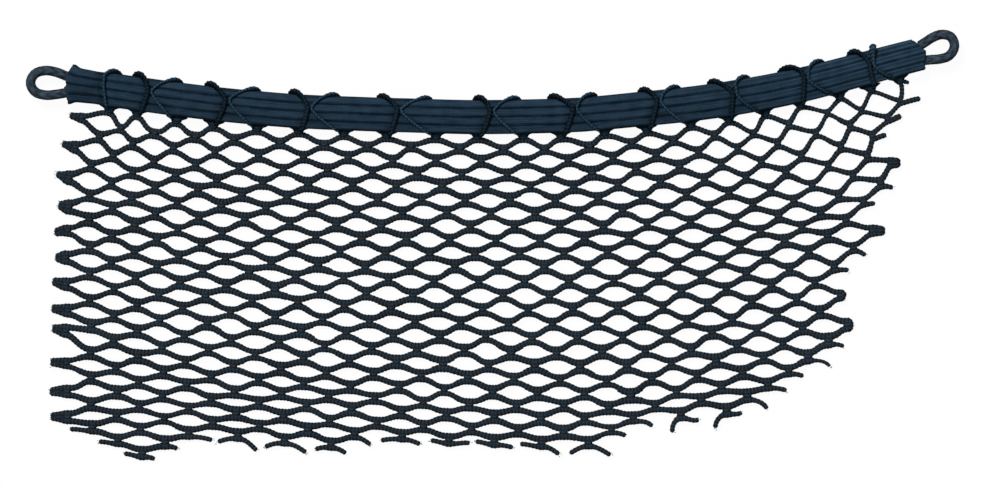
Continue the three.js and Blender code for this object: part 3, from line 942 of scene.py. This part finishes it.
def band_plan(x, part, sway, cuts):
    """The section's points at this x, as seen from above."""
    place = band_at(x)
    flare = FLARE[0] * bell(x - LEFT_X, FLARE[1])
    half_width = place.half * (1 - PINCH_DEPTHS[0] * pinch_at(x)) + flare
    left_blend = max(0, 1 - (x - LEFT_X) / END_BLEND)
    right_blend = max(0, 1 - (RIGHT_X - x) / END_BLEND)
    lengthways = cuts[0] * left_blend - cuts[1] * right_blend
    sideways = part * half_width + sway
    return place.middle + sideways[:, None] * place.normal + lengthways[:, None] * place.tangent


def band_face(x, part, front, outside):
    """Half the section's thickness at this x, with its ribs, creases and the swells between them."""
    edge = np.clip((np.abs(part) - 1 + EDGE_ROUND) / EDGE_ROUND, 0, 1)
    wave = np.abs(np.sin(math.pi * RIBS * (part + 1) / 2))
    ribs = RIB_DEPTH * (1 - wave ** 0.5)
    seams = SEAM_DEPTH * np.clip(1 - (1 - wave) / SEAM_WIDTH, 0, 1)
    right = np.interp(x - LEFT_X, RIGHT_WEAVE, (0, 1))
    relief = ribs * (1 - 0.5 * right) + seams * (1 + right)
    face = (BAND_TOP - BAND_BOTTOM) / 2 * np.sqrt(1 - edge ** 2) - relief * (1 - edge)
    swell = BULGE * (1 - bell(outside, BULGE_REACH))
    drawn_in = CREASE_DEPTH * bell(outside, CREASE_REACH) + PINCH_DEPTHS[1] * pinch_at(x)
    return face + front * (1 - edge) * (swell - drawn_in)


def band_tone(x, part, front, outside, left_cords):
    """How light the section is at this x, with the creases, grooves and left end in shade."""
    reach, crease = CREASE_SHADE
    middle, groove_reach, groove = GROOVE_SHADE
    to_cord = np.where(left_cords > x, left_cords - x, np.inf).min(axis=0)
    shade = crease * bell(outside, reach) + groove * bell(to_cord - middle, groove_reach)
    start, length, dark, top = LEFT_SHADE
    end_shade = dark * bell(x - LEFT_X - start, length) * np.clip(top - part, 0, 1)
    right_light = RIGHT_LIGHT[2] * np.interp(x, RIGHT_LIGHT[:2], (0, 1))
    return BAND_TONE[0] + BAND_TONE[1] * part - shade * front - end_shade + right_light


def band_rings(chance):
    """A strip with round ribs along it, that swells between the crossings' creases."""
    turn = np.arange(BAND_SIDES) / BAND_SIDES * TURN
    part = np.cos(turn)
    front = np.sin(turn) > 0
    cuts = band_cuts(part, chance)
    xs = np.linspace(LEFT_X, RIGHT_X, BAND_RINGS)
    sways = np.interp(xs, np.linspace(LEFT_X, RIGHT_X, SWAY[1]), chance.normal(0, *SWAY))
    spans = crossing_spans(part)
    rings, tones = [], []
    for x, sway in zip(xs, sways):
        outside = np.clip(np.maximum(spans[:, 0] - x, x - spans[:, 1]), 0, None).min(axis=0)
        face = band_face(x, part, front, outside)
        heights = BAND_MIDDLE + np.where(front, face, -face)
        rings.append(np.column_stack([band_plan(x, part, sway, cuts), heights]))
        tones.append(band_tone(x, part, front, outside, spans[:, 0]))
    return np.array(rings), xs - LEFT_X, np.array(tones)


# ---- The eyes ----

EYE_RADIUS = 2.35
EYE_STEP = 0.5
EYE_SIDES = 24
EYE_RELIEF = 0.015
LEG = 3.5  # how far each leg of an eye goes on into the band
LEG_HEIGHT = ((2, 6), (0.55, 1))  # at these lengths from a leg's end, its height as a part of its width


def eye_rings(route):
    """An eye's braided cord, its legs flattened where they are sewn into the band."""
    points = [np.array(point) for point in route]
    first = points[0] + LEG * unit(points[0] - points[1])
    last = points[-1] + LEG * unit(points[-1] - points[-2])
    line = spline_path([raised(point, BAND_MIDDLE) for point in (first, *points, last)], EYE_STEP)
    along = length_along(line)
    flat = np.interp(np.minimum(along, along[-1] - along), *LEG_HEIGHT)
    return cord_rings(line, EYE_RADIUS, EYE_RADIUS * flat, EYE_SIDES, EYE_RELIEF), along


# ---- Finishes ----

CORD_FLUFF = (1300, 4)  # the scale and detail of the finest noise
BAND_FLUFF = (1400, 4)
PATCHES = (60, 2)
FIBRE_SLANT = 9.0  # as STITCH_SLANT, for the fibres in a cord's yarn
BRAID = (5.5, -5.0)  # its yarns' pitch and slant
BRAID_FIBRES = 0.9
WEFT_PITCH = 0.75
BUMP_STRENGTH = 0.7
ROUGHNESS = 0.9
SPECULAR = 0.06


def linear(value):
    """A colour as it shows, from 0 to 255, as the shader wants it."""
    value = value / 255
    return value / 12.92 if value <= 0.04045 else ((value + 0.055) / 1.055) ** 2.4


def colour(red, green, blue):
    return (linear(red), linear(green), linear(blue), 1)


class Nodes:
    """A material's node tree, with short ways to add and join nodes."""

    def __init__(self, name):
        self.material = bpy.data.materials.new(name)
        self.material.use_nodes = True
        self.tree = self.material.node_tree
        self.shader = self.tree.nodes["Principled BSDF"]

    def add(self, kind, **settings):
        node = self.tree.nodes.new(kind)
        for key, value in settings.items():
            setattr(node, key, value)
        return node

    def join(self, source, target):
        self.tree.links.new(source, target)

    def fill(self, sockets, values):
        for socket, value in zip(sockets, values):
            if isinstance(value, (int, float, tuple)):
                socket.default_value = value
            else:
                self.join(value, socket)

    def maths(self, operation, *values):
        node = self.add("ShaderNodeMath", operation=operation)
        self.fill(node.inputs, values)
        return node.outputs[0]

    def wave(self, place, pitch, lead=0.0):
        """A wave of that pitch along a place, from -1 to 1, that starts ahead by a lead."""
        return self.maths("COSINE", self.maths("MULTIPLY_ADD", place, TURN / pitch, lead))

    def vector(self, *parts):
        node = self.add("ShaderNodeCombineXYZ")
        self.fill(node.inputs, parts)
        return node.outputs[0]

    def noise(self, scale, detail=3.0, vector=None):
        node = self.add("ShaderNodeTexNoise")
        node.inputs["Scale"].default_value = scale
        node.inputs["Detail"].default_value = detail
        if vector is None:
            vector = self.add("ShaderNodeTexCoord").outputs["Object"]
        self.join(vector, node.inputs["Vector"])
        return node.outputs["Fac"]

    def streaks(self, along, rate, beside, beside_rate):
        """A noise drawn out along a piece: its rates of change along it and across it."""
        stretched = self.maths("MULTIPLY", along, rate), self.maths("MULTIPLY", beside, beside_rate)
        return self.noise(1.0, 3, self.vector(*stretched, 0.0))

    def ramp(self, value, start, end):
        """From 0 to 1 as a value goes from a start to an end."""
        node = self.add("ShaderNodeMapRange")
        self.fill(node.inputs, (value, float(start), float(end)))
        return node.outputs[0]

    def mix(self, factor, first, second, blend="MIX"):
        node = self.add("ShaderNodeMix", data_type="RGBA", blend_type=blend)
        self.fill((node.inputs[0], node.inputs[6], node.inputs[7]), (factor, first, second))
        return node.outputs[2]

    def total(self, start, *terms):
        """A start plus each (value, weight), where a noise of 0 to 1 is taken from its middle."""
        for value, weight, middle in terms:
            start = self.maths("MULTIPLY_ADD", value, weight, self.maths("SUBTRACT", start, weight * middle))
        return start

    def lengthways_and_round(self):
        """Millimetres along a cord or the band, and the place round it from 0 to 1."""
        parts = self.add("ShaderNodeSeparateXYZ")
        self.join(self.add("ShaderNodeUVMap", uv_map="UVMap").outputs[0], parts.inputs[0])
        return parts.outputs[0], parts.outputs[1]

    def cord_places(self):
        """Millimetres along a cord, its height from -1 to 1, and radians round it from its top."""
        along, turn = self.lengthways_and_round()
        top = self.maths("SINE", self.maths("MULTIPLY", turn, TURN))
        return along, top, self.maths("ARCCOSINE", top)

    def shaded(self, shade, dark, light):
        """A colour between a dark and a light one, made darker or lighter by the piece's tone."""
        clamp = self.add("ShaderNodeClamp")
        self.join(shade, clamp.inputs[0])
        tone = self.add("ShaderNodeAttribute", attribute_name="tone").outputs["Fac"]
        grey = self.add("ShaderNodeCombineColor")
        self.fill(grey.inputs, (tone, tone, tone))
        return self.mix(1.0, self.mix(clamp.outputs[0], dark, light), grey.outputs[0], "MULTIPLY")

    def finish(self, paint, height, depth):
        bump = self.add("ShaderNodeBump")
        bump.inputs["Strength"].default_value = BUMP_STRENGTH
        bump.inputs["Distance"].default_value = depth * MM
        self.join(height, bump.inputs["Height"])
        self.join(bump.outputs[0], self.shader.inputs["Normal"])
        self.join(paint, self.shader.inputs["Base Color"])
        self.shader.inputs["Roughness"].default_value = ROUGHNESS
        self.shader.inputs["Specular IOR Level"].default_value = SPECULAR
        return self.material


def knitted_cord(name, dark, light, flecks, painted_rim_shade):
    """Knitted yarn: a chain of slanting stitches, with painted light on its top and painted shade down its
    sides.
    """
    nodes = Nodes(name)
    along, top, from_top = nodes.cord_places()
    stitches = nodes.wave(along, STITCH_PITCH, nodes.maths("MULTIPLY", from_top, -STITCH_SLANT))
    fibres = nodes.wave(along, STITCH_PITCH / 5, nodes.maths("MULTIPLY", from_top, FIBRE_SLANT))
    fluff = nodes.noise(*CORD_FLUFF)
    patches = nodes.noise(*PATCHES)
    # Painted shade: the colour is lighter at the cord's top and darker down its sides.
    shade = nodes.total(
        nodes.maths("MULTIPLY_ADD", top, painted_rim_shade, 0.5 - 0.7 * painted_rim_shade),
        (stitches, flecks, 0), (fluff, 0.7, 0.5), (patches, 0.4, 0.5),
    )
    height = nodes.total(fluff, (stitches, 0.5, 0), (fibres, 0.15, 0))
    return nodes.finish(nodes.shaded(shade, dark, light), height, 0.25)


def braided_cord(name, dark, light):
    """A smooth braid: long slanting yarns, with painted light along its top and painted shade at its sides.
    """
    nodes = Nodes(name)
    along, top, from_top = nodes.cord_places()
    yarns = nodes.wave(along, BRAID[0], nodes.maths("MULTIPLY", from_top, BRAID[1]))
    fibres = nodes.wave(along, BRAID_FIBRES, nodes.maths("MULTIPLY", from_top, FIBRE_SLANT))
    streaks = nodes.streaks(along, 0.25, from_top, 2.5)
    fluff = nodes.noise(*CORD_FLUFF)
    # Painted light and shade: lighter along the cord's top, darker down its sides.
    shade = nodes.total(
        nodes.maths("MULTIPLY_ADD", top, 0.5, 0.02),
        (yarns, 0.15, 0), (streaks, 1.7, 0.5), (fluff, 0.5, 0.5),
    )
    height = nodes.total(fluff, (yarns, 0.5, 0), (fibres, 0.2, 0))
    return nodes.finish(nodes.shaded(shade, dark, light), height, 0.25)


def ribbed_elastic(name, groove, rib):
    """Ribbed elastic: grooves darkened with painted shade, lighter ribs, fine crosswise weave and lengthways
    threads.
    """
    nodes = Nodes(name)
    along, turn = nodes.lengthways_and_round()
    part = nodes.maths("COSINE", nodes.maths("MULTIPLY", turn, TURN))
    ribs = nodes.maths("ABSOLUTE", nodes.wave(part, 4 / RIBS, (RIBS - 1) * math.pi / 2))
    threads = nodes.wave(part, 2 / RIBS / 4)
    right = nodes.ramp(along, *RIGHT_WEAVE)
    # Painted shade: the colour is darkest in the grooves between the ribs.
    rounded = nodes.maths("POWER", ribs, 0.45)
    rib_shade = nodes.maths("MULTIPLY", rounded, nodes.maths("MULTIPLY_ADD", right, -0.5, 1.1))
    fine_ribs = nodes.maths("MULTIPLY", nodes.wave(part, 2 / RIBS / 2), right)
    weft = nodes.wave(along, WEFT_PITCH)
    streaks = nodes.streaks(along, 0.1, part, 9.0)
    threads_lost = nodes.streaks(along, 0.05, part, 22.0)
    blotches = nodes.streaks(along, 0.2, part, 1.5)
    fluff = nodes.noise(*BAND_FLUFF)
    shade = nodes.total(
        nodes.maths("MULTIPLY_ADD", right, 0.35, nodes.maths("SUBTRACT", rib_shade, 0.36)),
        (threads, 0.1, 0), (fine_ribs, -0.2, 0), (streaks, 0.9, 0.5), (threads_lost, 0.9, 0.5),
        (blotches, 0.6, 0.5), (weft, 0.05, 0), (fluff, 0.5, 0.5),
    )
    height = nodes.total(fluff, (streaks, 1.0, 0.5), (threads, 0.3, 0), (weft, 0.25, 0))
    return nodes.finish(nodes.shaded(shade, groove, rib), height, 0.2)


# ---- The pieces ----

# The net's pieces: each one's last row, its cut width and length in metres, and the part of that
# area which is cord and not opening
NetPiece = namedtuple("NetPiece", "name last_row width length cloth")
NET_PIECES = [
    NetPiece("net_upper", -2, 0.42, 0.06, 0.6),
    NetPiece("net_middle", 5, 0.4, 0.055, 0.6),
    NetPiece("net_lower", 99, 0.4, 0.07, 0.5),
]
HEADING_CLOTH = (0.41, 0.024, 0.5)  # the same for the heading: width, length and the part that is cord


def declare(piece, node):
    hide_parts(node)
    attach(piece, "root")
    return piece


def declare_net(piece, width, length, cloth):
    declare(piece, "net")


def make_pieces():
    chance = np.random.default_rng(SEED + 1)
    # Both knitted cords get painted shade down their sides and painted light on their tops.
    net_cloth = knitted_cord("net_cord", colour(5, 9, 12), colour(43, 54, 64), flecks=0.35, painted_rim_shade=0.7)
    heading_cloth = knitted_cord("heading_cord", colour(3, 11, 17), colour(34, 55, 70), flecks=0.3, painted_rim_shade=0.7)
    band_cloth = ribbed_elastic("band_elastic", colour(7, 22, 34), colour(42, 63, 81))
    eye_cloth = braided_cord("loop_cord", colour(12, 18, 26), colour(70, 85, 99))

    surfaces = {net_piece.name: Surface() for net_piece in NET_PIECES}
    flat_net(lambda row: surfaces[next(p.name for p in NET_PIECES if row <= p.last_row)], chance)
    for name, _, width, length, cloth in NET_PIECES:
        declare_net(surfaces[name].build(name, net_cloth), width, length, cloth)
    wraps = Surface()
    heading(wraps, chance)
    declare_net(wraps.build("net_heading", heading_cloth), *HEADING_CLOTH)

    band = Surface()
    band.add(*band_rings(chance))
    piece = declare(band.build("band_strip", band_cloth), "band")

    for route, name in ((LEFT_EYE, "loop_left"), (RIGHT_EYE, "loop_right")):
        eye = Surface()
        eye.add(*eye_rings(route))
        declare(eye.build(name + "_cord", eye_cloth), name)


# ---- Floor, light and camera ----

FLOOR_GREY = 0.45  # what the floor reflects onto the object
FLOOR_WHITE = 1.06  # how bright it looks
FLOOR_SEEN = 0.9  # the part of that white in what the camera sees of it
SUN_ENERGY = 2.8
SUN_SPREAD, SUN_TILT = 18, (-35, -30)  # in degrees
WORLD_LIGHT = 0.35  # on the object; the camera sees the world as white
LENS = 200
PICTURE_FILL = 0.945  # the part of the picture's width that the object takes up


def make_stage():
    nodes = Nodes("floor_paper")
    nodes.shader.inputs["Base Color"].default_value = (FLOOR_GREY, FLOOR_GREY, FLOOR_GREY, 1)
    nodes.shader.inputs["Roughness"].default_value = 1.0
    nodes.shader.inputs["Specular IOR Level"].default_value = 0.0
    white = nodes.add("ShaderNodeEmission")
    white.inputs["Strength"].default_value = FLOOR_WHITE
    blend = nodes.add("ShaderNodeMixShader")
    ray = nodes.add("ShaderNodeLightPath")
    seen = nodes.maths("MAXIMUM", ray.outputs["Is Camera Ray"], ray.outputs["Is Glossy Ray"])
    seen = nodes.maths("MAXIMUM", seen, ray.outputs["Is Transmission Ray"])
    nodes.join(nodes.maths("MULTIPLY", seen, FLOOR_SEEN), blend.inputs[0])
    nodes.join(nodes.shader.outputs[0], blend.inputs[1])
    nodes.join(white.outputs[0], blend.inputs[2])
    nodes.join(blend.outputs[0], nodes.tree.nodes["Material Output"].inputs[0])
    bpy.ops.mesh.primitive_plane_add(size=8, location=(0, 0, -0.0002))
    floor = bpy.context.object
    floor.name = "floor"
    floor.data.materials.append(nodes.material)


def make_light():
    world = bpy.data.worlds.new("studio")
    bpy.context.scene.world = world
    world.use_nodes = True
    nodes = world.node_tree.nodes
    nodes["Background"].inputs[0].default_value = (1, 1, 1, 1)
    ray = nodes.new("ShaderNodeLightPath")
    seen = nodes.new("ShaderNodeMath")
    seen.operation = "MULTIPLY_ADD"
    seen.inputs[1].default_value = 1 - WORLD_LIGHT
    seen.inputs[2].default_value = WORLD_LIGHT
    world.node_tree.links.new(ray.outputs["Is Camera Ray"], seen.inputs[0])
    world.node_tree.links.new(seen.outputs[0], nodes["Background"].inputs[1])
    sun = bpy.data.lights.new("key", "SUN")
    sun.energy = SUN_ENERGY
    sun.angle = math.radians(SUN_SPREAD)
    key = bpy.data.objects.new("key", sun)
    key.rotation_euler = (*map(math.radians, SUN_TILT), 0)
    bpy.context.scene.collection.objects.link(key)


def make_camera():
    camera = bpy.data.cameras.new("camera")
    camera.lens = LENS
    width = (cad_box[1].x - cad_box[0].x) / PICTURE_FILL
    place = bpy.data.objects.new("camera", camera)
    place.location = (0, 0, width * camera.lens / camera.sensor_width)
    bpy.context.scene.collection.objects.link(place)
    bpy.context.scene.camera = place


bpy.context.scene.view_settings.view_transform = "Standard"
make_pieces()
make_stage()
make_light()
make_camera()
